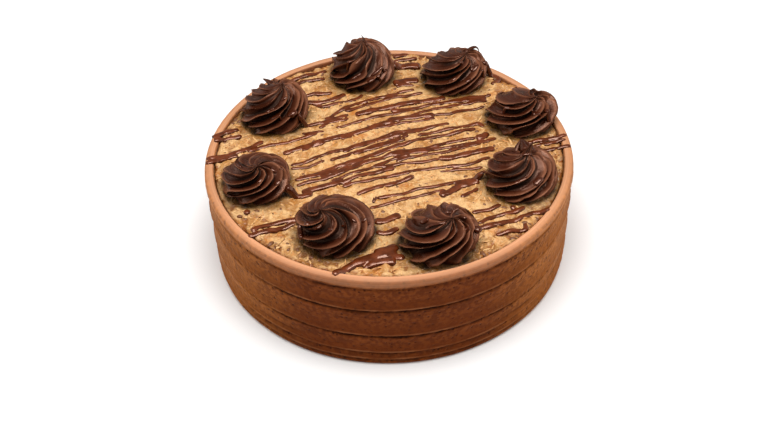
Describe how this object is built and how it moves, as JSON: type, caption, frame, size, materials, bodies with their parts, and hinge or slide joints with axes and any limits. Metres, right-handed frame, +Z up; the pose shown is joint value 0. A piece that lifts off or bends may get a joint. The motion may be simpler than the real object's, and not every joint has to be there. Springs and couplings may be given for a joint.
{
  "type": "german chocolate cake",
  "caption": "Uncut round cake with a combed chocolate icing wall and a rolled lip, filled on top with coconut pecan spread, chocolate drizzle and a ring of piped chocolate rosettes.",
  "frame": {"origin": "middle of the flat underside of the cake", "axes": "+Z up through the middle of the round, +X to the right and -Y to the front as the picture looks at it"},
  "size_m": [0.208, 0.208, 0.084],
  "materials": {
    "chocolate_icing": "matte whipped chocolate icing with fine pores",
    "coconut_pecan_spread": "moist coconut and pecan spread, satin",
    "piped_chocolate": "glossy dark chocolate, piped and drizzled"
  },
  "bodies": {
    "root": {"cake": "chocolate_icing", "coconut_pecan_topping": "coconut_pecan_spread", "rosette_1": "piped_chocolate", "rosette_2": "piped_chocolate", "rosette_3": "piped_chocolate", "rosette_4": "piped_chocolate", "rosette_5": "piped_chocolate", "rosette_6": "piped_chocolate", "rosette_7": "piped_chocolate", "rosette_8": "piped_chocolate"}
  },
  "joints": []
}
